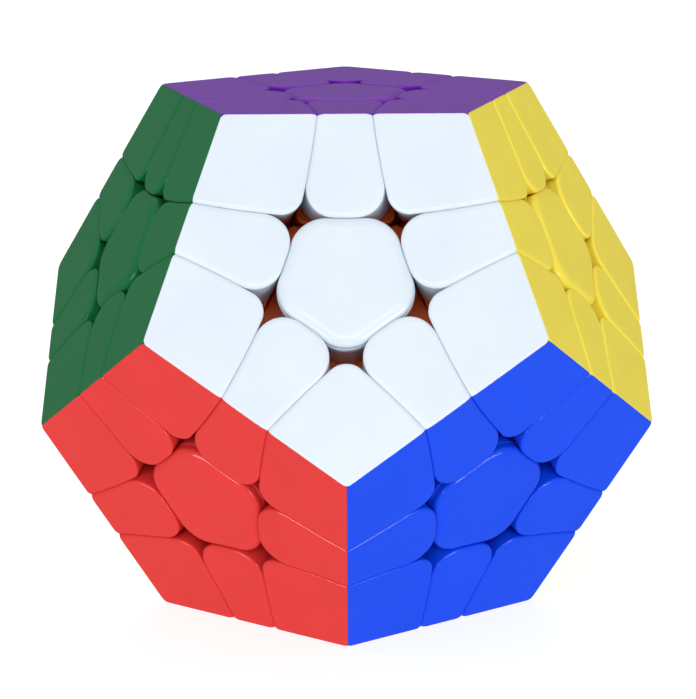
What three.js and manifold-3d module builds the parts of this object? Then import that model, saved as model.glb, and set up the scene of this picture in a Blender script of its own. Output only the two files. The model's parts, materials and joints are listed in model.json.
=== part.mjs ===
// A twelve-sided twisty puzzle of 12 centres, 30 edges and 20 corners round a core.
// Millimetres, +Z up, origin at the core's centre. The white face looks along -Y and the purple face is on top.
//
// Every face turns about its own axis, so everything that belongs to a face, its layer, is cut from the rest
// by one surface of revolution about that axis. A centre lies in one layer, an edge in two, a corner in three.
import * as THREE from "three";
import { mergeVertices } from "three/addons/utils/BufferGeometryUtils.js";
import Module from "manifold-3d";

const wasm = await Module();
wasm.setup();

// Driving dimensions
const EDGE_LENGTH = 32; // edge of the dodecahedron
const GAP = 0.4; // running clearance between neighbouring pieces
const SEAM_RISE = 13.36; // where the sloping cut of a layer would meet its axis
const SEAM_SLOPE = 0.345; // rise of that cut for each millimetre away from the axis
const NECK_ANGLE = 42; // half angle of the layer at the necks of the edges and corners
const FOOT_ANGLE = 50; // half angle of the layer at their feet, which hook under their neighbours
const FOOT_OUTER = 21.1; // distance of the feet's upper sides from the core's centre
const ROOM_INRADIUS = 14.4; // of the twelve-sided room round the core, under all the feet
const LAYER_REACH = 50; // radius and height that hold a whole layer
const LATHE_SIDES = 15;

const HOLE_DISTANCE = 9.3; // from a face's middle to the openings between its pieces
const HOLE_RADIUS = 2.3;
const HOLE_DEPTH = 9;
const HOLE_SIDES = 6;

const HUB_RADIUS = 11;
const ARM_RADIUS = 3;
const ARM_END = 13.9;
const SHANK_RADIUS = 1.2;
const HEAD_RADIUS = 2.9;
const HEAD_START = 25.5;
const HEAD_END = 27.5;
const BORE_RADIUS = 1.7;
const WELL_RADIUS = 3.7; // room for the spring and the screw's head
const WELL_START = 19;
const WELL_END = 30;
const ROUND_SIDES = 8;

const BRIDGE_SIZE = new THREE.Vector3(2.4, 4, 2.2);
const BRIDGE_DISTANCE = 18.6;

// Geometry of the dodecahedron
const PHI = (1 + Math.sqrt(5)) / 2;
const INRADIUS = (EDGE_LENGTH * PHI ** 2) / (2 * Math.sqrt(3 - PHI));
const CIRCUMRADIUS = (EDGE_LENGTH * Math.sqrt(3) * PHI) / 2;
const TILT = Math.atan(2); // angle between the axes of neighbouring faces

// Faces in order: top, upper ring from the front anticlockwise, lower ring likewise, bottom
const FACES = [
  { name: "purple", color: 0x6d4a96 },
  { name: "white", color: 0xf2f5f8 },
  { name: "yellow", color: 0xe6d14f },
  { name: "orange", color: 0xf08a2c },
  { name: "sky", color: 0x66b8ea },
  { name: "green", color: 0x1f7a45 },
  { name: "blue", color: 0x2450e0 },
  { name: "lime", color: 0x8ecb45 },
  { name: "grey", color: 0x9a9ea3 },
  { name: "cream", color: 0xf1e6b8 },
  { name: "red", color: 0xd8363a },
  { name: "pink", color: 0xef8fb6 },
];
const BOTTOM = 11;
const CORE_COLOR = 0xe2562f;

function ringAxis(tilt, azimuthDegrees) {
  const azimuth = THREE.MathUtils.degToRad(azimuthDegrees);
  const flat = Math.sin(tilt);
  return new THREE.Vector3(flat * Math.cos(azimuth), flat * Math.sin(azimuth), Math.cos(tilt));
}

const AXES = [new THREE.Vector3(0, 0, 1)];
for (let k = 0; k < 5; k++) AXES.push(ringAxis(TILT, -90 + 72 * k));
for (let k = 0; k < 5; k++) AXES.push(ringAxis(Math.PI - TILT, -54 + 72 * k));
AXES.push(new THREE.Vector3(0, 0, -1));

const areNeighbours = (i, j) => Math.abs(AXES[i].angleTo(AXES[j]) - TILT) < 0.01;

// The turned frame whose +Z lies along the first direction and whose -Y leans towards the second
function frameOf(along, towards) {
  const z = along.clone();
  const y = towards.clone().addScaledVector(z, -towards.dot(z)).normalize().negate();
  const x = y.clone().cross(z);
  return new THREE.Matrix4().makeBasis(x, y, z);
}

function anyNeighbour(face) {
  return AXES.findIndex((_, other) => areNeighbours(face, other));
}

// Solids
function solidOf(geometry, matrix = new THREE.Matrix4()) {
  const placed = geometry.clone().applyMatrix4(matrix);
  placed.deleteAttribute("normal");
  placed.deleteAttribute("uv");
  const merged = mergeVertices(placed, 1e-4);
  return new wasm.Manifold(
    new wasm.Mesh({
      numProp: 3,
      vertProperties: merged.attributes.position.array,
      triVerts: new Uint32Array(merged.index.array),
    }),
  );
}

function geometryOf(solid) {
  const mesh = solid.getMesh();
  const geometry = new THREE.BufferGeometry();
  geometry.setAttribute("position", new THREE.BufferAttribute(mesh.vertProperties, 3));
  geometry.setIndex(new THREE.BufferAttribute(mesh.triVerts, 1));
  geometry.computeVertexNormals();
  return geometry;
}

// A round bar along +Z from one height to another
function bar(radius, from, to, sides = ROUND_SIDES) {
  const geometry = new THREE.CylinderGeometry(radius, radius, to - from, sides);
  return geometry.rotateX(Math.PI / 2).translate(0, 0, (from + to) / 2);
}

function polar(distance, degrees) {
  const angle = THREE.MathUtils.degToRad(degrees);
  return new THREE.Vector2(distance * Math.sin(angle), distance * Math.cos(angle));
}

// The cut of a layer in its half plane, from its axis out past the rim: x is the radius, y the height
function seamProfile() {
  const neckTangent = Math.tan(THREE.MathUtils.degToRad(NECK_ANGLE));
  const neckTop = SEAM_RISE / (1 - SEAM_SLOPE * neckTangent);
  return [
    new THREE.Vector2(0, 0),
    polar(FOOT_OUTER, FOOT_ANGLE),
    polar(FOOT_OUTER, NECK_ANGLE),
    new THREE.Vector2(neckTop * neckTangent, neckTop),
    new THREE.Vector2(LAYER_REACH, SEAM_RISE + SEAM_SLOPE * LAYER_REACH),
  ];
}

// The profile moved sideways by a distance, away from its layer when that is positive
function offsetProfile(points, distance) {
  const lines = points.slice(1).map((end, n) => {
    const along = end.clone().sub(points[n]).normalize();
    const away = new THREE.Vector2(along.y, -along.x);
    return { start: points[n].clone().addScaledVector(away, distance), along };
  });
  const meet = (first, second) => {
    const between = second.start.clone().sub(first.start);
    const travel = between.cross(second.along) / first.along.cross(second.along);
    return first.start.clone().addScaledVector(first.along, travel);
  };
  const moved = lines.slice(1).map((line, n) => meet(lines[n], line));
  const last = lines[lines.length - 1];
  const axis = { start: new THREE.Vector2(0, 0), along: new THREE.Vector2(0, 1) };
  const wall = { start: new THREE.Vector2(LAYER_REACH, 0), along: new THREE.Vector2(0, 1) };
  return [meet(lines[0], axis), ...moved, meet(last, wall)];
}

// One layer as a solid. What stays inside it takes the small one and what stays outside it loses the large one.
function layer(face, isLarge) {
  const points = offsetProfile(seamProfile(), isLarge ? GAP / 2 : -GAP / 2);
  const scale = isLarge ? 1 / Math.cos(Math.PI / LATHE_SIDES) : 1;
  const closed = [
    ...points,
    new THREE.Vector2(LAYER_REACH, LAYER_REACH),
    new THREE.Vector2(0, LAYER_REACH),
  ].map((point) => new THREE.Vector2(point.x * scale, point.y));
  const geometry = new THREE.LatheGeometry(closed, LATHE_SIDES).rotateX(Math.PI / 2);
  return solidOf(geometry, frameOf(AXES[face], AXES[anyNeighbour(face)]));
}

function dodecahedron(inradius) {
  const first = new THREE.Vector3(1, 0, PHI).normalize();
  const second = new THREE.Vector3(-1, 0, PHI).normalize();
  const turn = frameOf(first, second).transpose();
  return solidOf(new THREE.DodecahedronGeometry((CIRCUMRADIUS * inradius) / INRADIUS), turn);
}

// The five openings on a face where a centre, two edges and a corner meet
function openings(face) {
  const frame = frameOf(AXES[face], AXES[anyNeighbour(face)]);
  const geometry = bar(HOLE_RADIUS, INRADIUS - HOLE_DEPTH, INRADIUS + 1, HOLE_SIDES);
  geometry.translate(0, HOLE_DISTANCE, 0);
  let all = null;
  for (let k = 0; k < 5; k++) {
    const turn = new THREE.Matrix4().makeRotationZ((2 * Math.PI * k) / 5);
    const one = solidOf(geometry, frame.clone().multiply(turn));
    all = all ? all.add(one) : one;
  }
  return all;
}

const LAYERS_SMALL = [0, 1, 2].map((face) => layer(face, false));
const LAYERS_LARGE = [0, 1, 2, 3, 4, 5].map((face) => layer(face, true));
const BODY = dodecahedron(INRADIUS).subtract(dodecahedron(ROOM_INRADIUS));
const OPENINGS = [0, 1, 2].map((face) => openings(face));

// A piece that lies inside some layers and outside its neighbouring ones
function piece(inside, outside) {
  let solid = BODY;
  for (const face of inside) solid = solid.intersect(LAYERS_SMALL[face]).subtract(OPENINGS[face]);
  for (const face of outside) solid = solid.subtract(LAYERS_LARGE[face]);
  return solid;
}

// Each piece is made once, where it belongs to the top face, the front one and the one right of the front
const CENTRE_BLANK = piece([0], [1, 2, 3, 4, 5]);
const CENTRE = CENTRE_BLANK.subtract(solidOf(bar(BORE_RADIUS, 0, WELL_START + 1))).subtract(
  solidOf(bar(WELL_RADIUS, WELL_START, WELL_END)),
);
const EDGE = piece([0, 1], [2, 5]);
const CORNER = piece([0, 1, 2], []);

// An edge and the corner beside it held together at their feet, where the bottom layer doesn't turn
function edgeWithCorner() {
  const edgeWay = AXES[0].clone().add(AXES[1]).normalize();
  const cornerWay = AXES[0].clone().add(AXES[1]).add(AXES[2]).normalize();
  const between = AXES[2].clone().addScaledVector(edgeWay, -AXES[2].dot(edgeWay)).normalize();
  const bridgeAngle = THREE.MathUtils.degToRad(FOOT_ANGLE);
  const tilt = edgeWay.angleTo(AXES[2]) - bridgeAngle;
  const way = edgeWay.clone().multiplyScalar(Math.cos(tilt)).addScaledVector(between, Math.sin(tilt));
  const box = new THREE.BoxGeometry(BRIDGE_SIZE.x, BRIDGE_SIZE.y, BRIDGE_SIZE.z);
  const frame = frameOf(way, cornerWay).setPosition(way.clone().multiplyScalar(BRIDGE_DISTANCE));
  const bridge = solidOf(box, frame).intersect(LAYERS_SMALL[0]).intersect(LAYERS_SMALL[1]);
  return EDGE.add(CORNER).add(bridge);
}

// The hub with an arm and a screw for each centre, and the bottom centre screwed down on it
function coreWithCentre() {
  let core = solidOf(new THREE.IcosahedronGeometry(HUB_RADIUS, 1));
  AXES.forEach((axis, face) => {
    const frame = frameOf(axis, AXES[anyNeighbour(face)]);
    if (face === BOTTOM) {
      const post = solidOf(bar(ARM_RADIUS, HUB_RADIUS - 2, WELL_START), frame);
      const blank = solidOf(geometryOf(CENTRE_BLANK), frame);
      core = core.add(post).add(blank);
      return;
    }
    core = core
      .add(solidOf(bar(ARM_RADIUS, HUB_RADIUS - 2, ARM_END), frame))
      .add(solidOf(bar(SHANK_RADIUS, ARM_END - 1, HEAD_START + 1), frame))
      .add(solidOf(bar(HEAD_RADIUS, HEAD_START, HEAD_END), frame));
  });
  return core;
}

// Assembly
const GEOMETRIES = {
  centre: geometryOf(CENTRE),
  edge: geometryOf(EDGE),
  corner: geometryOf(CORNER),
  edgeWithCorner: geometryOf(edgeWithCorner()),
  core: geometryOf(coreWithCentre()),
};

const puzzle = new THREE.Group();

function addPiece(name, geometry, color, frame = new THREE.Matrix4()) {
  const material = new THREE.MeshStandardMaterial({ color, roughness: 0.35, metalness: 0 });
  const mesh = new THREE.Mesh(geometry, material);
  mesh.name = name;
  mesh.quaternion.setFromRotationMatrix(frame);
  puzzle.add(mesh);
}

const colorsOf = (faces) => faces.map((face) => FACES[face].name).join("_");
const isRightHanded = (i, j, k) => AXES[i].clone().cross(AXES[j]).dot(AXES[k]) > 0;
// Corners of the bottom face that share a piece with the edge above them, by their two side faces
const isJoined = (i, j) => i + j === 15 || i + j === 17;

addPiece(`core_with_centre_${FACES[BOTTOM].name}`, GEOMETRIES.core, CORE_COLOR);
FACES.forEach(({ name, color }, i) => {
  if (i !== BOTTOM) {
    const frame = frameOf(AXES[i], AXES[anyNeighbour(i)]);
    addPiece(`centre_${name}`, GEOMETRIES.centre, color, frame);
  }
});
for (let i = 0; i < 12; i++) {
  for (let j = i + 1; j < 12; j++) {
    if (!areNeighbours(i, j)) continue;
    const joined = i > 5 && j < BOTTOM && isJoined(i, j);
    if (joined) {
      const [first, second] = isRightHanded(i, j, BOTTOM) ? [i, j] : [j, i];
      const frame = frameOf(AXES[first], AXES[second]);
      const name = `edge_${colorsOf([i, j])}_with_corner_${FACES[BOTTOM].name}`;
      addPiece(name, GEOMETRIES.edgeWithCorner, FACES[i].color, frame);
    } else {
      addPiece(`edge_${colorsOf([i, j])}`, GEOMETRIES.edge, FACES[i].color, frameOf(AXES[i], AXES[j]));
    }
    for (let k = j + 1; k < 12; k++) {
      if (!areNeighbours(i, k) || !areNeighbours(j, k) || joined && k === BOTTOM) continue;
      const [first, second] = isRightHanded(i, j, k) ? [i, j] : [j, i];
      const frame = frameOf(AXES[first], AXES[second]);
      addPiece(`corner_${colorsOf([i, j, k])}`, GEOMETRIES.corner, FACES[i].color, frame);
    }
  }
}

export default puzzle;
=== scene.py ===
"""Looks of a twisty puzzle with twelve faces: coloured shells on orange-red feet round a core."""

import json
import math

import bpy
import bmesh
import numpy as np
from mathutils import Matrix, Vector


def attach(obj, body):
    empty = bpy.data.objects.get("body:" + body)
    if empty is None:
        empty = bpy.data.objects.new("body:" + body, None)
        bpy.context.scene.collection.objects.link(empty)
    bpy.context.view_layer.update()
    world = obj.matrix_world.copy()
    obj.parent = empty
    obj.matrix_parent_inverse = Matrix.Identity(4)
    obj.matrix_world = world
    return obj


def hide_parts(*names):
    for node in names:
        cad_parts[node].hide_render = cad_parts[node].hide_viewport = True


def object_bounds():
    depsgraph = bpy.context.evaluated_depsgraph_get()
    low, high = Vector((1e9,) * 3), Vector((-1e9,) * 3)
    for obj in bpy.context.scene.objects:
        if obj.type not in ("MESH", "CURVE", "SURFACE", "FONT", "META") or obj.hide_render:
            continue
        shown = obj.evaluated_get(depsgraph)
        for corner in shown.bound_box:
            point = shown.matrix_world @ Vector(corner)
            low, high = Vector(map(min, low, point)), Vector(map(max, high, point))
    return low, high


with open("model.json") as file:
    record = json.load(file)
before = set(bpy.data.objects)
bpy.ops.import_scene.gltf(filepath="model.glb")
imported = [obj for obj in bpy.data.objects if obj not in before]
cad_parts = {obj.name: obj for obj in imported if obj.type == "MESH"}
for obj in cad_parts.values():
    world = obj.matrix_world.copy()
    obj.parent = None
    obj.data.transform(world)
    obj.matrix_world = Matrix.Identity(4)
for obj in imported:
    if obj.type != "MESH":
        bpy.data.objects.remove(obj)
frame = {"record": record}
CAD_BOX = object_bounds()
BODIES = frame["record"]["behaviour"]["bodies"]
NODE_BODY = {node: body for body, nodes in BODIES.items() for node in nodes}

# Millimetres, with the origin at the core's centre
MM = 0.001
INRADIUS = (CAD_BOX[1].z - CAD_BOX[0].z) / 2 / MM
TILT = math.atan(2)  # angle between the axes of neighbouring faces
CLICK = 72  # degrees from one neighbour of a face to the next
NAMES = "purple white yellow orange sky green blue lime grey cream red pink".split()
FACE_COUNT = len(NAMES)

# The cut round a face, a surface of revolution about its axis
SEAM_RISE = 13.36
SEAM_SLOPE = 0.345
NECK_ANGLE = math.radians(42)
FOOT_ANGLE = math.radians(50)
FOOT_OUTER = 21.1
NECK_OUTER = 25.9

# Shells
SEAM_GAP = 0.008  # from the cut to a shell's wall
SEAM_WIDTH = 0.6
SEAM_DROP = 0.36
RIM_WIDTH = 1.55
RIM_DROP = 0.9
RIM_STEPS = 12
FLAT_RING = 0.06  # inside a rounded edge, to keep the top's shading flat
SHELL_DEPTH = 8.4
CAP_DEPTH = 1.55
CAP_TO_RING = 0.02
RING_DEPTH = 3.1
NECK_INSET = 0.45
NECK_MIDDLE_DEPTH = 6
BASE_DEPTH = 11.3
EASE = 0.2  # of edges that don't show
ROUND_CENTRE = 3.5
ROUND_EDGE = 4.6
ROUND_CORNER = 2.4
EDGE_LEAN = 0.62  # of the middle of an edge's flat top towards the other face
CORNER_LEAN = 0.55
RIDGE_INSET = 0.1  # of a shell's flat top from the dodecahedron's edge
RIDGE_FLAT = 0.05  # more of it at the ring that keeps the shading flat
RIDGE_DROP = 0.03
MITRE_GAP = 0.01
POINT_ROUND = 0.9  # of a shell's outline where it reaches the dodecahedron's edge
POINT_ROUND_DEEP = 0.05
POINT_FADE = 1.3  # how fast that rounding goes over into the deep one

# Feet
FOOT_GAP = 0.2
FOOT_INNER = 14.8
FOOT_MIDDLE = 18
FOOT_FILLET = 0.4
FOOT_EASE = 0.12
FOOT_ROUND = 1.2
FOOT_NECK_MIDDLE = 23.5
FOOT_TOP_DEPTH = SHELL_DEPTH + 0.06
FOOT_TOP_EASE = 0.3
FOOT_TOP_MIDDLE = 9.5

# Hub, arms, screws and springs
HUB_RADIUS = 11.0
HUB_SUBDIVISIONS = 5
BOSS_RADIUS = 5.2
BOSS_SLOPE = 1.2
ARM_RADIUS = 3.0
ARM_END = 13.9
BORE_RADIUS = 1.7
WELL_RADIUS = 3.7
WELL_START = 19.0
WASHER_START = 25.15
WASHER_GAP = 0.03  # to the screw's head
WASHER_RADIUS = 3.3
WASHER_HOLE = 1.45
WASHER_EASE_WIDTH = 0.1
WASHER_EASE_DROP = 0.08
HEAD_START = 25.5
HEAD_END = 27.4
HEAD_RADIUS = 2.9
HEAD_ROOM = 0.4  # over the screw's head
RECESS_RADIUS = 1.2
RECESS_DEPTH = 0.5
SHANK_RADIUS = 1.2
THREAD_START = WELL_START - 1
THREAD_PITCH = 0.4
THREAD_DEPTH = 0.18
SPRING_RADIUS = 2.5
SPRING_WIRE = 0.32
SPRING_TURNS = 6
SPRING_FLAT_TURNS = 0.8  # at each end
SPRING_GAP = 0.05  # to what it presses on
SPRING_STEPS = 40  # round each turn
SPRING_SIDES = 10
LATHE_SIDES = 32

# Tracing of outlines
SEARCH_DIRECTIONS = 1440
SEARCH_REACH = 30.0
SEARCH_RADIUS = 25.0  # of the sphere along which a reach is measured
BISECTIONS = 34
LENGTH_SHARE = 0.45  # of an outline's points that go by length, where the rest go by bend
SHELL_POINTS = 112
FOOT_POINTS = 96
SHARP_ANGLE = math.radians(35)


# Directions and frames
def ring_axis(tilt, azimuth_degrees):
    """The direction at an angle from +Z and round from +X."""
    azimuth = math.radians(azimuth_degrees)
    return (math.sin(tilt) * math.cos(azimuth), math.sin(tilt) * math.sin(azimuth), math.cos(tilt))


AXES = np.array(
    [(0, 0, 1)]
    + [ring_axis(TILT, -90 + CLICK * k) for k in range(5)]
    + [ring_axis(math.pi - TILT, -90 + CLICK * (k + 0.5)) for k in range(5)]
    + [(0, 0, -1)]
)


def are_neighbours(i, j):
    return abs(AXES[i] @ AXES[j] - math.cos(TILT)) < 0.01


def neighbour_of(face):
    return next(j for j in range(FACE_COUNT) if are_neighbours(face, j))


def unit(v):
    return v / np.linalg.norm(v)


def frame_of(along, towards):
    """The rotation whose +Z lies along the first direction and whose -Y leans towards the second."""
    z = np.asarray(along, float)
    y = -unit(towards - (towards @ z) * z)
    return np.column_stack([np.cross(y, z), y, z])


# Distances from the cuts, positive on a piece's own side
def seam(points, face):
    """Height above the sloping cut of a layer."""
    height = points @ AXES[face]
    radius = np.linalg.norm(points - height[:, None] * AXES[face], axis=1)
    return (height - SEAM_RISE - SEAM_SLOPE * radius) / math.hypot(1, SEAM_SLOPE)


def cone(points, face, angle):
    """Distance inside a layer's cone below its sloping cut."""
    reach = np.linalg.norm(points, axis=1)
    apart = np.arccos(np.clip(points @ AXES[face] / reach, -1, 1))
    return reach * (angle - apart)


def mitre(points, face, other):
    """Distance on a face's side of the plane that halves the angle between it and another."""
    return points @ unit(AXES[face] - AXES[other])


def rounded(distances, radius):
    """The least of several distances, with the corners where two of them meet rounded off."""
    d = np.array(distances)
    near = np.maximum(radius - d, 0)
    return np.maximum(radius, d.min(axis=0)) - np.linalg.norm(near, axis=0)


# Outlines and lofts
def even_outline(field, place, count):
    """Points of the closed curve where a field is zero, at even angles round its middle."""
    angles = np.arange(count) * 2 * math.pi / count
    low = np.zeros(count)
    high = np.full(count, SEARCH_REACH)
    for _ in range(BISECTIONS):
        middle = (low + high) / 2
        inside = field(place(middle, angles)) > 0
        low = np.where(inside, middle, low)
        high = np.where(inside, high, middle)
    return place(low, angles)


def outline(field, place, count):
    """Points of the closed curve where a field is zero, closer together where the curve bends."""
    dense = even_outline(field, place, SEARCH_DIRECTIONS)
    steps = np.roll(dense, -1, axis=0) - dense
    lengths = np.linalg.norm(steps, axis=1)
    ways = steps / lengths[:, None]
    bends = np.arccos(np.clip((ways * np.roll(ways, 1, axis=0)).sum(axis=1), -1, 1))
    bends = (bends + np.roll(bends, -1)) / 2
    weights = LENGTH_SHARE * lengths / lengths.sum() + (1 - LENGTH_SHARE) * bends / bends.sum()
    share = np.concatenate([[0], np.cumsum(weights)])
    wanted = np.arange(count) / count * share[-1]
    looped = np.vstack([dense, dense[:1]])
    return np.column_stack([np.interp(wanted, share, looped[:, k]) for k in range(3)])


def level_place(origin):
    """Places points round an origin in a level plane."""
    return lambda reach, angle: origin + np.column_stack(
        [reach * np.sin(angle), reach * np.cos(angle), np.zeros_like(angle)]
    )


def sphere_place(radius_of, way, side):
    """Places points round a direction on a surface given by its distance from the core's centre."""
    other = np.cross(way, side)

    def place(reach, angle):
        apart = reach / SEARCH_RADIUS
        across = np.sin(angle)[:, None] * side + np.cos(angle)[:, None] * other
        ways = np.cos(apart)[:, None] * way + np.sin(apart)[:, None] * across
        return ways * radius_of(ways)[:, None]

    return place


def circle(radius, height, count):
    """Points round +Z, in the order in which an outline runs."""
    turns = np.arange(count) * 2 * math.pi / count
    return np.column_stack([radius * np.sin(turns), radius * np.cos(turns), np.full(count, height)])


def loft(rings, is_closed=False):
    """Vertices and faces of a skin through rings of equal counts, capped unless it closes on itself."""
    count = len(rings[0])
    faces = []
    pairs = len(rings) if is_closed else len(rings) - 1
    for k in range(pairs):
        a = k * count
        b = (k + 1) % len(rings) * count
        faces += [(a + i, a + (i + 1) % count, b + (i + 1) % count, b + i) for i in range(count)]
    if not is_closed:
        last = (len(rings) - 1) * count
        faces += [tuple(range(count)), tuple(range(last, last + count))[::-1]]
    return np.vstack(rings), faces


def lathe(profile, is_closed=False):
    """A skin of revolution about +Z through (radius, height) pairs."""
    return loft([circle(radius, height, LATHE_SIDES) for radius, height in profile], is_closed)


# Shells
def fillet_levels(drop, width, steps=6):
    """(depth, inset) pairs down a rounded edge, after a narrow ring that keeps the top's shading flat."""
    turns = [math.pi / 2 * k / steps for k in range(steps + 1)]
    levels = [(drop * (1 - math.cos(t)), width * (1 - math.sin(t))) for t in turns]
    return [(0, width + FLAT_RING)] + levels


def shell(inside, outside, mitres, rounding, start):
    """A coloured shell of face 0.

    It lies inside the cuts of some faces, outside those of others, and ends at the planes halfway to its
    mitres. The start is a point within its flat top.
    """
    levels = fillet_levels(SEAM_DROP, SEAM_WIDTH)
    levels += [(depth, 0) for depth in (SEAM_DROP + 0.25, 1.5, 3, SHELL_DEPTH - EASE)]
    levels.append((SHELL_DEPTH, EASE))
    rings = []
    for depth, inset in levels:
        fade = (1 - math.sqrt(min(1, depth / SEAM_DROP))) ** POINT_FADE
        point_round = POINT_ROUND_DEEP + (POINT_ROUND - POINT_ROUND_DEEP) * fade
        ridge = MITRE_GAP + (RIDGE_INSET - MITRE_GAP) * max(0, 1 - depth / RIDGE_DROP)
        extra = RIDGE_FLAT if inset > SEAM_WIDTH else 0

        def field(points):
            cuts = [seam(points, j) - SEAM_GAP for j in inside]
            cuts += [-seam(points, j) - SEAM_GAP for j in outside]
            sides = [mitre(points, 0, j) - ridge - extra for j in mitres]
            return rounded([rounded(cuts, rounding) - inset] + sides, point_round)

        origin = start * (INRADIUS - depth) / INRADIUS
        rings.append(outline(field, level_place(origin), SHELL_POINTS))
    return loft(rings)


def centre_rings(levels, cut_depth, count=SHELL_POINTS, trace=outline):
    """Outlines of a centre at (depth, inset) pairs.

    Each is traced where the cuts are at one depth and then moved up or down, so the walls are straight.
    """
    rings = []
    cut_plane = np.array([0, 0, INRADIUS - cut_depth])
    for depth, inset in levels:

        def field(points):
            return rounded([-seam(points, j) - SEAM_GAP for j in range(1, 6)], ROUND_CENTRE) - inset

        rings.append(trace(field, level_place(cut_plane), count) + np.array([0, 0, cut_depth - depth]))
    return rings


def centre_cap():
    """The pentagon that shows, with its broad rounded rim."""
    levels = fillet_levels(RIM_DROP, RIM_WIDTH, RIM_STEPS)
    levels += [(RIM_DROP + 0.2, 0), (CAP_DEPTH - 0.12, 0), (CAP_DEPTH, 0.14)]
    return loft(centre_rings(levels, RIM_DROP))


def centre_base():
    """The ring under the cap and the narrower neck below it, with room for the screw's head."""
    levels = [
        (CAP_DEPTH + CAP_TO_RING, EASE),
        (CAP_DEPTH + 0.16, 0.03),
        (CAP_DEPTH + 0.3, 0),
        (RING_DEPTH - 0.3, 0),
        (RING_DEPTH - 0.12, 0.04),
        (RING_DEPTH, EASE),
        (RING_DEPTH + 0.05, NECK_INSET - 0.1),
        (RING_DEPTH + 0.3, NECK_INSET),
        (NECK_MIDDLE_DEPTH, NECK_INSET),
        (BASE_DEPTH - EASE, NECK_INSET),
        (BASE_DEPTH, NECK_INSET + EASE),
    ]
    recess = [circle(WELL_RADIUS, z, SHELL_POINTS) for z in (INRADIUS - BASE_DEPTH, HEAD_END + HEAD_ROOM)]
    return loft(centre_rings(levels, CAP_DEPTH) + recess)


# Feet and stems
def foot(inside, outside, faces):
    """The orange-red body under the shells of an edge or a corner, hooked under its neighbours."""
    way = unit(sum(AXES[j] for j in faces))
    side = unit(np.cross(way, AXES[0]))
    levels = [
        (FOOT_INNER, FOOT_ANGLE, FOOT_FILLET),
        (FOOT_INNER + 0.15, FOOT_ANGLE, FOOT_EASE),
        (FOOT_INNER + FOOT_FILLET, FOOT_ANGLE, 0),
        (FOOT_MIDDLE, FOOT_ANGLE, 0),
        (FOOT_OUTER - 0.6, FOOT_ANGLE, 0),
        (FOOT_OUTER - 0.3, FOOT_ANGLE, FOOT_EASE),
        (FOOT_OUTER - FOOT_GAP, FOOT_ANGLE, FOOT_FILLET),
        (FOOT_OUTER + FOOT_GAP, NECK_ANGLE, 0),
        (FOOT_NECK_MIDDLE, NECK_ANGLE, 0),
        (NECK_OUTER, NECK_ANGLE, 0),
    ]
    rings = []
    for distance, angle, inset in levels:

        def field(points):
            cuts = [cone(points, j, angle) for j in inside] + [-cone(points, j, angle) for j in outside]
            return rounded([c - FOOT_GAP for c in cuts], FOOT_ROUND) - inset

        place = sphere_place(lambda ways: np.full(len(ways), distance), way, side)
        rings.append(even_outline(field, place, FOOT_POINTS))
    top = FOOT_TOP_DEPTH
    top_levels = [
        (FOOT_TOP_MIDDLE, 0),
        (top + FOOT_TOP_EASE, 0),
        (top + 0.08, 0.08),
        (top, FOOT_TOP_EASE),
    ]
    for depth, inset in top_levels:

        def field(points):
            cuts = [seam(points, j) for j in inside] + [-seam(points, j) for j in outside]
            return rounded([c - FOOT_GAP for c in cuts], FOOT_ROUND) - inset

        def radius_of(ways):
            return (INRADIUS - depth) / (ways @ AXES[list(faces)].T).max(axis=1)

        rings.append(even_outline(field, sphere_place(radius_of, way, side), FOOT_POINTS))
    return loft(rings[::-1])


def centre_stem():
    """The orange-red body under a centre, with a well for the spring and a bore for the screw."""
    rings = centre_rings([(BASE_DEPTH + 0.05, NECK_INSET)], CAP_DEPTH, FOOT_POINTS, even_outline)
    top = rings[0][0, 2]
    waist = NECK_OUTER * math.cos(TILT - NECK_ANGLE)  # where the sloping cut meets the neck's cone
    hook = FOOT_OUTER - FOOT_GAP
    bottom = FOOT_INNER - 0.4
    levels = [
        (waist, NECK_ANGLE),
        (hook, NECK_ANGLE),
        (hook - 0.4, FOOT_ANGLE),
        (bottom, FOOT_ANGLE),
    ]
    for height, angle in levels:

        def field(points):
            return rounded([-cone(points, j, angle) - FOOT_GAP for j in range(1, 6)], FOOT_ROUND)

        rings.append(even_outline(field, level_place(np.array([0, 0, height])), FOOT_POINTS))
    bore = [circle(BORE_RADIUS, height, FOOT_POINTS) for height in (bottom, WELL_START)]
    well = [circle(WELL_RADIUS, height, FOOT_POINTS) for height in (WELL_START, top)]
    return loft(rings + bore + well, is_closed=True)


# Core
def hub():
    """A ball with a flat boss for every arm."""
    mesh = bmesh.new()
    bmesh.ops.create_icosphere(mesh, subdivisions=HUB_SUBDIVISIONS, radius=HUB_RADIUS)
    points = np.array([v.co for v in mesh.verts])
    faces = [tuple(v.index for v in f.verts) for f in mesh.faces]
    mesh.free()
    for axis in AXES:
        height = points @ axis
        across = points - height[:, None] * axis
        radius = np.linalg.norm(across, axis=1)
        lift = np.clip((BOSS_RADIUS - radius) / BOSS_SLOPE, 0, 1)
        lift = lift * lift * (3 - 2 * lift) * (height > 0)
        points += (np.maximum(0, HUB_RADIUS - height) * lift)[:, None] * axis
    return points, faces


def arm():
    """A post that flares where it meets the hub."""
    start = HUB_RADIUS - 0.2
    profile = [
        (ARM_RADIUS + 0.5, start),
        (ARM_RADIUS + 0.15, start + 0.2),
        (ARM_RADIUS, start + 0.5),
        (ARM_RADIUS, ARM_END - 0.3),
        (ARM_RADIUS - 0.3, ARM_END),
    ]
    return lathe(profile)


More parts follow.
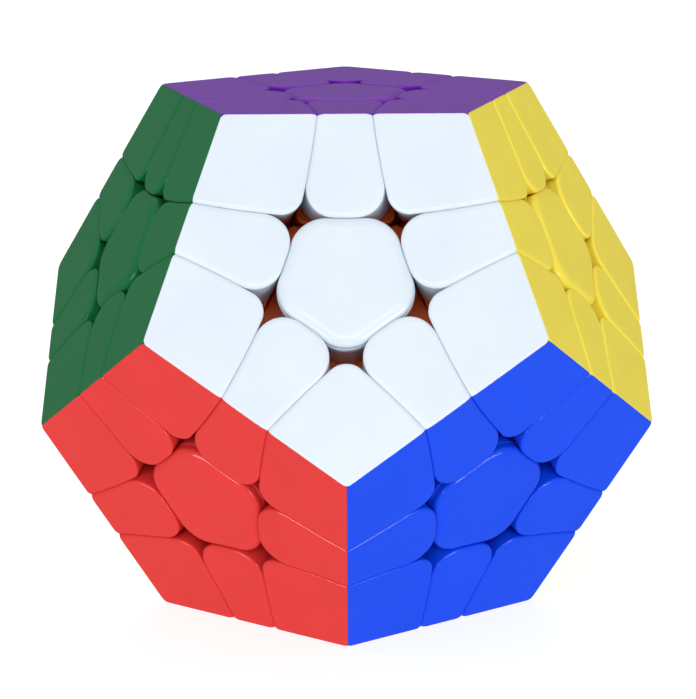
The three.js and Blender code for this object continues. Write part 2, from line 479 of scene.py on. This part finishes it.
def screw():
    """A pan head with a round recess, over a shank with a shallow thread."""
    profile = [
        (RECESS_RADIUS - 0.2, HEAD_END - RECESS_DEPTH),
        (RECESS_RADIUS, HEAD_END),
        (HEAD_RADIUS - 0.7, HEAD_END),
        (HEAD_RADIUS - 0.2, HEAD_END - 0.3),
        (HEAD_RADIUS, HEAD_END - 0.8),
        (HEAD_RADIUS, HEAD_START + 0.1),
        (HEAD_RADIUS - 0.1, HEAD_START),
        (SHANK_RADIUS, HEAD_START),
        (SHANK_RADIUS, THREAD_START),
    ]
    height = THREAD_START
    while height > ARM_END + 0.5:
        profile.append((SHANK_RADIUS - THREAD_DEPTH, height - THREAD_PITCH / 2))
        profile.append((SHANK_RADIUS, height - THREAD_PITCH))
        height -= THREAD_PITCH
    profile.append((SHANK_RADIUS, ARM_END))
    return lathe(profile)


def washer():
    """A flat ring with its outer edges eased."""
    low = WASHER_START
    high = HEAD_START - WASHER_GAP
    flat_radius = WASHER_RADIUS - WASHER_EASE_WIDTH
    profile = [
        (WASHER_HOLE, low),
        (WASHER_HOLE, high),
        (flat_radius, high),
        (WASHER_RADIUS, high - WASHER_EASE_DROP),
        (WASHER_RADIUS, low + WASHER_EASE_DROP),
        (flat_radius, low),
    ]
    return lathe(profile, is_closed=True)


def spring():
    """A coil whose first and last turns lie nearly flat."""
    low = WELL_START + SPRING_WIRE + SPRING_GAP
    high = WASHER_START - SPRING_WIRE - SPRING_GAP
    up = np.array([0, 0, 1])
    angles = np.arange(SPRING_SIDES) * 2 * math.pi / SPRING_SIDES
    steps = SPRING_STEPS * SPRING_TURNS
    rings = []
    for k in range(steps + 1):
        turns = k / steps * SPRING_TURNS
        share = min(1, max(0, (turns - SPRING_FLAT_TURNS) / (SPRING_TURNS - 2 * SPRING_FLAT_TURNS)))
        flat_height = low + SPRING_WIRE * min(1, turns / SPRING_FLAT_TURNS)
        height = flat_height + (high - flat_height) * share
        turn = 2 * math.pi * SPRING_TURNS * k / steps
        out = np.array([math.cos(turn), math.sin(turn), 0])
        middle = out * SPRING_RADIUS + up * height
        rings.append(middle + SPRING_WIRE * (np.cos(angles)[:, None] * out + np.sin(angles)[:, None] * up))
    return loft(rings)


# Materials
def new_material(name):
    """A material with its nodes, their links, its shader and the coordinates of the object it is on."""
    material = bpy.data.materials.new(name)
    material.use_nodes = True
    nodes = material.node_tree.nodes
    coords = nodes.new("ShaderNodeTexCoord").outputs["Object"]
    return material, nodes, material.node_tree.links, nodes["Principled BSDF"], coords


def noise(nodes, links, coords, size_mm, detail):
    """A noise with spots of about a size."""
    node = nodes.new("ShaderNodeTexNoise")
    node.inputs["Scale"].default_value = 1 / (size_mm * MM)
    node.inputs["Detail"].default_value = detail
    links.new(coords, node.inputs["Vector"])
    return node.outputs["Fac"]


def ranged(nodes, links, value, low, high):
    """Spreads a noise over a range of numbers."""
    node = nodes.new("ShaderNodeMapRange")
    node.inputs["From Min"].default_value = 0.3
    node.inputs["From Max"].default_value = 0.7
    node.inputs["To Min"].default_value = low
    node.inputs["To Max"].default_value = high
    links.new(value, node.inputs["Value"])
    return node.outputs["Result"]


def mottled(nodes, links, value, low, high):
    """Spreads a noise over the colours between two."""
    node = nodes.new("ShaderNodeMix")
    node.data_type = "RGBA"
    node.inputs["A"].default_value = (*low, 1)
    node.inputs["B"].default_value = (*high, 1)
    links.new(ranged(nodes, links, value, 0, 1), node.inputs["Factor"])
    return node.outputs["Result"]


def bump(nodes, links, value, strength, height_mm):
    """Raises and lowers a surface by a noise."""
    node = nodes.new("ShaderNodeBump")
    node.inputs["Strength"].default_value = strength
    node.inputs["Distance"].default_value = height_mm * MM
    links.new(value, node.inputs["Height"])
    return node


def moulded_plastic(name, color, roughness, specular, mottle=0.025):
    """Moulded plastic: faint flow mottling, uneven gloss and a very shallow orange peel."""
    material, nodes, links, shader, coords = new_material(name)
    low = [c * (1 - mottle) for c in color]
    high = [min(1, c * (1 + mottle)) for c in color]
    flow = noise(nodes, links, coords, size_mm=9, detail=3)
    links.new(mottled(nodes, links, flow, low, high), shader.inputs["Base Color"])
    gloss = noise(nodes, links, coords, size_mm=2.2, detail=4)
    links.new(ranged(nodes, links, gloss, roughness - 0.03, roughness + 0.03), shader.inputs["Roughness"])
    peel_noise = noise(nodes, links, coords, size_mm=0.9, detail=2)
    peel = bump(nodes, links, peel_noise, strength=0.25, height_mm=0.004)
    grain_noise = noise(nodes, links, coords, size_mm=0.12, detail=1)
    grain = bump(nodes, links, grain_noise, strength=0.3, height_mm=0.002)
    links.new(peel.outputs["Normal"], grain.inputs["Normal"])
    links.new(grain.outputs["Normal"], shader.inputs["Normal"])
    shader.inputs["Specular IOR Level"].default_value = specular
    return material


def brushed_steel(name, color):
    """Steel with fine mottling in its colour, gloss and height."""
    material, nodes, links, shader, coords = new_material(name)
    marks = noise(nodes, links, coords, size_mm=0.4, detail=4)
    links.new(mottled(nodes, links, marks, [c * 0.9 for c in color], color), shader.inputs["Base Color"])
    links.new(ranged(nodes, links, marks, 0.22, 0.4), shader.inputs["Roughness"])
    grain = bump(nodes, links, marks, strength=0.3, height_mm=0.01)
    links.new(grain.outputs["Normal"], shader.inputs["Normal"])
    shader.inputs["Metallic"].default_value = 1
    return material


# Base colour, roughness and specular level of each face's plastic
PLASTICS = {
    "purple": ((0.198, 0.018, 0.490), 0.22, 0.3),
    "white": ((0.738, 0.818, 0.905), 0.22, 0.35),
    "yellow": ((0.990, 0.810, 0.080), 0.22, 0.3),
    "orange": ((0.870, 0.230, 0.010), 0.22, 0.3),
    "sky": ((0.080, 0.420, 0.800), 0.22, 0.3),
    "green": ((0.010, 0.168, 0.053), 0.22, 0.14),
    "blue": ((0.006, 0.072, 0.840), 0.2, 0.3),
    "lime": ((0.270, 0.600, 0.040), 0.22, 0.3),
    "grey": ((0.240, 0.255, 0.270), 0.22, 0.3),
    "cream": ((0.830, 0.760, 0.430), 0.22, 0.3),
    "red": ((0.780, 0.043, 0.040), 0.2, 0.42),
    "pink": ((0.830, 0.240, 0.400), 0.22, 0.3),
}
COLORED = {name: moulded_plastic(f"plastic_{name}", *look) for name, look in PLASTICS.items()}
CORE_PLASTIC = moulded_plastic("core_plastic", (1.0, 0.16, 0.02), 0.38, 0.35, mottle=0.05)
STEEL = brushed_steel("steel", (0.60, 0.60, 0.62))


# Pieces
def add_piece(name, template, rotation, node, material):
    """Adds a turned copy of a template that rides on its node's body and takes the node's place."""
    points, faces = template
    mesh = bpy.data.meshes.new(name)
    mesh.from_pydata((points @ rotation.T * MM).tolist(), [], faces)
    mesh.materials.append(material)
    edit = bmesh.new()
    edit.from_mesh(mesh)
    bmesh.ops.recalc_face_normals(edit, faces=edit.faces)
    edit.to_mesh(mesh)
    edit.free()
    mesh.shade_smooth()
    mesh.set_sharp_from_angle(angle=SHARP_ANGLE)
    piece = bpy.data.objects.new(name, mesh)
    bpy.context.scene.collection.objects.link(piece)
    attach(piece, NODE_BODY[node])
    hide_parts(node)


def node_of(kind, faces):
    """The CAD node that holds a piece, as some pieces share one."""
    name = f"{kind}_" + "_".join(NAMES[f] for f in sorted(faces))
    if name in NODE_BODY:
        return name
    if kind == "centre":
        return "core_with_centre_" + NAMES[faces[0]]
    sides = sorted(faces)[:2]
    return "edge_" + "_".join(NAMES[f] for f in sides) + "_with_corner_pink"


def mean_height(faces, weights):
    """A point inside a shell's flat top, as a blend of directions brought to the top's plane."""
    way = sum(w * AXES[f] for f, w in zip(faces, weights))
    return way * INRADIUS / (way @ AXES[0])


# Each template is made once, for face 0 and its neighbours, and turned to every place
CAP = centre_cap()
BASE = centre_base()
STEM = centre_stem()
EDGE_SHELL = shell([1], [2, 5], [1], ROUND_EDGE, mean_height([0, 1], [1, EDGE_LEAN]))
CORNER_MIDDLE = mean_height([0, 1, 2], [1, CORNER_LEAN, CORNER_LEAN])
CORNER_SHELL = shell([1, 2], [], [1, 2], ROUND_CORNER, CORNER_MIDDLE)
EDGE_FOOT = foot([0, 1], [2, 5], (0, 1))
CORNER_FOOT = foot([0, 1, 2], [], (0, 1, 2))
HUB = hub()
ARM = arm()
SCREW = screw()
WASHER = washer()
SPRING = spring()
CORE_NODE = "core_with_centre_pink"


def add_centre(face):
    """A centre's cap, base and stem, and the arm, screw, washer and spring that hold it."""
    color = NAMES[face]
    turn = frame_of(AXES[face], AXES[neighbour_of(face)])
    node = node_of("centre", [face])
    add_piece(f"centre_{color}_cap", CAP, turn, node, COLORED[color])
    add_piece(f"centre_{color}_base", BASE, turn, node, COLORED[color])
    add_piece(f"centre_{color}_stem", STEM, turn, node, CORE_PLASTIC)
    add_piece(f"arm_{color}", ARM, turn, CORE_NODE, CORE_PLASTIC)
    add_piece(f"screw_{color}", SCREW, turn, CORE_NODE, STEEL)
    add_piece(f"washer_{color}", WASHER, turn, CORE_NODE, STEEL)
    add_piece(f"spring_{color}", SPRING, turn, CORE_NODE, STEEL)


def add_shell(owner, template, face, other, node):
    """The shell that an edge or a corner has on one face, turned towards another."""
    color = NAMES[face]
    turn = frame_of(AXES[face], AXES[other])
    add_piece(f"{owner}_shell_{color}", template, turn, node, COLORED[color])


def add_edge(i, j):
    """An edge's foot and its two shells."""
    name = f"edge_{NAMES[i]}_{NAMES[j]}"
    node = node_of("edge", [i, j])
    turn = frame_of(AXES[i], AXES[j])
    add_piece(f"{name}_foot", EDGE_FOOT, turn, node, CORE_PLASTIC)
    add_shell(name, EDGE_SHELL, i, j, node)
    add_shell(name, EDGE_SHELL, j, i, node)


def add_corner(i, j, k):
    """A corner's foot and its three shells, each turned towards the next face round the corner."""
    name = f"corner_{NAMES[i]}_{NAMES[j]}_{NAMES[k]}"
    node = node_of("corner", [i, j, k])
    order = (i, j, k) if np.cross(AXES[i], AXES[j]) @ AXES[k] > 0 else (j, i, k)
    turn = frame_of(AXES[order[0]], AXES[order[1]])
    add_piece(f"{name}_foot", CORNER_FOOT, turn, node, CORE_PLASTIC)
    for n in range(3):
        add_shell(name, CORNER_SHELL, order[n], order[(n + 1) % 3], node)


add_piece("hub", HUB, np.eye(3), CORE_NODE, CORE_PLASTIC)
for i in range(FACE_COUNT):
    add_centre(i)
for i in range(FACE_COUNT):
    for j in range(i + 1, FACE_COUNT):
        if not are_neighbours(i, j):
            continue
        add_edge(i, j)
        for k in range(j + 1, FACE_COUNT):
            if are_neighbours(i, k) and are_neighbours(j, k):
                add_corner(i, j, k)


# Floor and backdrop
STAGE_SIZE = 6.0  # metres
WALL_SIDES = 64


def stage_material(name, greys, size_mm, specular, glow):
    """A matt surface, mottled between two greys, that gives off some light of its own."""
    material, nodes, links, shader, coords = new_material(name)
    mottle = noise(nodes, links, coords, size_mm, detail=3)
    low, high = greys
    links.new(mottled(nodes, links, mottle, [low] * 3, [high] * 3), shader.inputs["Base Color"])
    shader.inputs["Roughness"].default_value = 0.9
    shader.inputs["Specular IOR Level"].default_value = specular
    shader.inputs["Emission Color"].default_value = (1, 1, 1, 1)
    shader.inputs["Emission Strength"].default_value = glow
    return material


def new_object(name, points, faces, material):
    mesh = bpy.data.meshes.new(name)
    mesh.from_pydata(points, [], faces)
    mesh.materials.append(material)
    item = bpy.data.objects.new(name, mesh)
    bpy.context.scene.collection.objects.link(item)
    return item


def add_floor():
    """A pale floor that doesn't show in the gloss, where the dim studio shows instead."""
    size = STAGE_SIZE
    points = [(-size, -size, 0), (size, -size, 0), (size, size, 0), (-size, size, 0)]
    material = stage_material("floor", (0.36, 0.39), size_mm=60, specular=0.1, glow=0.8)
    floor = new_object("floor", points, [(0, 1, 2, 3)], material)
    floor.location.z = CAD_BOX[0].z - 0.02 * MM
    floor.visible_glossy = False


def add_backdrop():
    """A pale wall round the floor. Only the camera sees it, so it neither lights nor shades the puzzle."""
    base = CAD_BOX[0].z - 1 * MM
    turns = np.arange(WALL_SIDES) * 2 * math.pi / WALL_SIDES
    rim = [(STAGE_SIZE * math.cos(t), STAGE_SIZE * math.sin(t)) for t in turns]
    points = [(x, y, z) for z in (base, base + STAGE_SIZE) for x, y in rim]
    nexts = [(i + 1) % WALL_SIDES for i in range(WALL_SIDES)]
    faces = [(i, n, WALL_SIDES + n, WALL_SIDES + i) for i, n in enumerate(nexts)]
    material = stage_material("backdrop", (0.66, 0.70), size_mm=300, specular=0.5, glow=1)
    backdrop = new_object("backdrop", points, faces, material)
    backdrop.visible_diffuse = False
    backdrop.visible_glossy = False
    backdrop.visible_shadow = False


# Light
LAMP_DISTANCE = 1.5  # metres


def add_area(name, azimuth, elevation, size, power, lights_surfaces=True, shows_in_gloss=True):
    """A soft lamp that faces the puzzle. Azimuth 0 is in front and 90 to the right."""
    round_turn = math.radians(azimuth)
    rise = math.radians(elevation)
    level = math.cos(rise)
    way = Vector((math.sin(round_turn) * level, -math.cos(round_turn) * level, math.sin(rise)))
    data = bpy.data.lights.new(name, "AREA")
    data.shape = "RECTANGLE"
    data.size, data.size_y = size
    data.energy = power
    lamp = bpy.data.objects.new(name, data)
    lamp.location = way * LAMP_DISTANCE
    lamp.rotation_euler = way.to_track_quat("Z", "Y").to_euler()
    lamp.visible_diffuse = lights_surfaces
    lamp.visible_glossy = shows_in_gloss
    bpy.context.scene.collection.objects.link(lamp)


def add_lamps():
    """Soft lamps round the puzzle, and two that show only in the gloss along the seams.

    Those two stand lower than the floor, which gloss looks through, so flat tops never mirror them.
    """
    add_area("left", -40, 8, (0.6, 0.45), 3.1, shows_in_gloss=False)
    add_area("right", 40, 8, (0.6, 0.45), 3.8, shows_in_gloss=False)
    add_area("front", 0, 26, (0.6, 0.4), 4.7)
    add_area("back", 180, 30, (0.8, 0.5), 3.5, shows_in_gloss=False)
    for azimuth in (-43, 43):
        add_area("gloss", azimuth, -6, (0.9, 0.35), 16, lights_surfaces=False)


def add_world():
    """A soft studio: dim below and bright overhead."""
    world = bpy.data.worlds.new("studio")
    world.use_nodes = True
    nodes, links = world.node_tree.nodes, world.node_tree.links
    coords = nodes.new("ShaderNodeTexCoord").outputs["Generated"]
    split = nodes.new("ShaderNodeSeparateXYZ")
    ramp = nodes.new("ShaderNodeValToRGB")
    links.new(coords, split.inputs["Vector"])
    links.new(split.outputs["Z"], ramp.inputs["Fac"])
    ramp.color_ramp.interpolation = "EASE"
    ramp.color_ramp.elements[0].position = 0.25
    ramp.color_ramp.elements[0].color = (0.25, 0.25, 0.25, 1)
    ramp.color_ramp.elements[1].position = 0.75
    ramp.color_ramp.elements[1].color = (1.0, 1.0, 1.0, 1)
    links.new(ramp.outputs["Color"], nodes["Background"].inputs["Color"])
    nodes["Background"].inputs["Strength"].default_value = 0.75
    bpy.context.scene.world = world


# Camera, fitted to the photo
LONG_SIDE = 699
FOCAL_PIXELS = 2545.8
CAMERA_ELEVATION = math.radians(13.49)
CAMERA_DISTANCE = 10.093  # in inradii, as are the two moves
CAMERA_RIGHT = 0.0067
CAMERA_UP = -0.0304
CAMERA_ROLL = -0.0056


def add_camera():
    """A camera in front of the puzzle and a little above it."""
    back = Vector((0, -math.cos(CAMERA_ELEVATION), math.sin(CAMERA_ELEVATION)))
    right = Vector((1, 0, 0))
    up = back.cross(right)
    data = bpy.data.cameras.new("camera")
    data.sensor_width = 36
    data.lens = FOCAL_PIXELS * data.sensor_width / LONG_SIDE
    data.clip_start = 0.01
    data.clip_end = 50
    camera = bpy.data.objects.new("camera", data)
    place = (back * CAMERA_DISTANCE + right * CAMERA_RIGHT + up * CAMERA_UP) * INRADIUS * MM
    turn = Matrix((right, up, back)).transposed().to_4x4() @ Matrix.Rotation(CAMERA_ROLL, 4, "Z")
    camera.matrix_world = Matrix.Translation(place) @ turn
    bpy.context.scene.collection.objects.link(camera)
    bpy.context.scene.camera = camera


add_floor()
add_backdrop()
add_world()
add_lamps()
add_camera()
bpy.context.scene.view_settings.view_transform = "Standard"
bpy.context.scene.view_settings.look = "None"
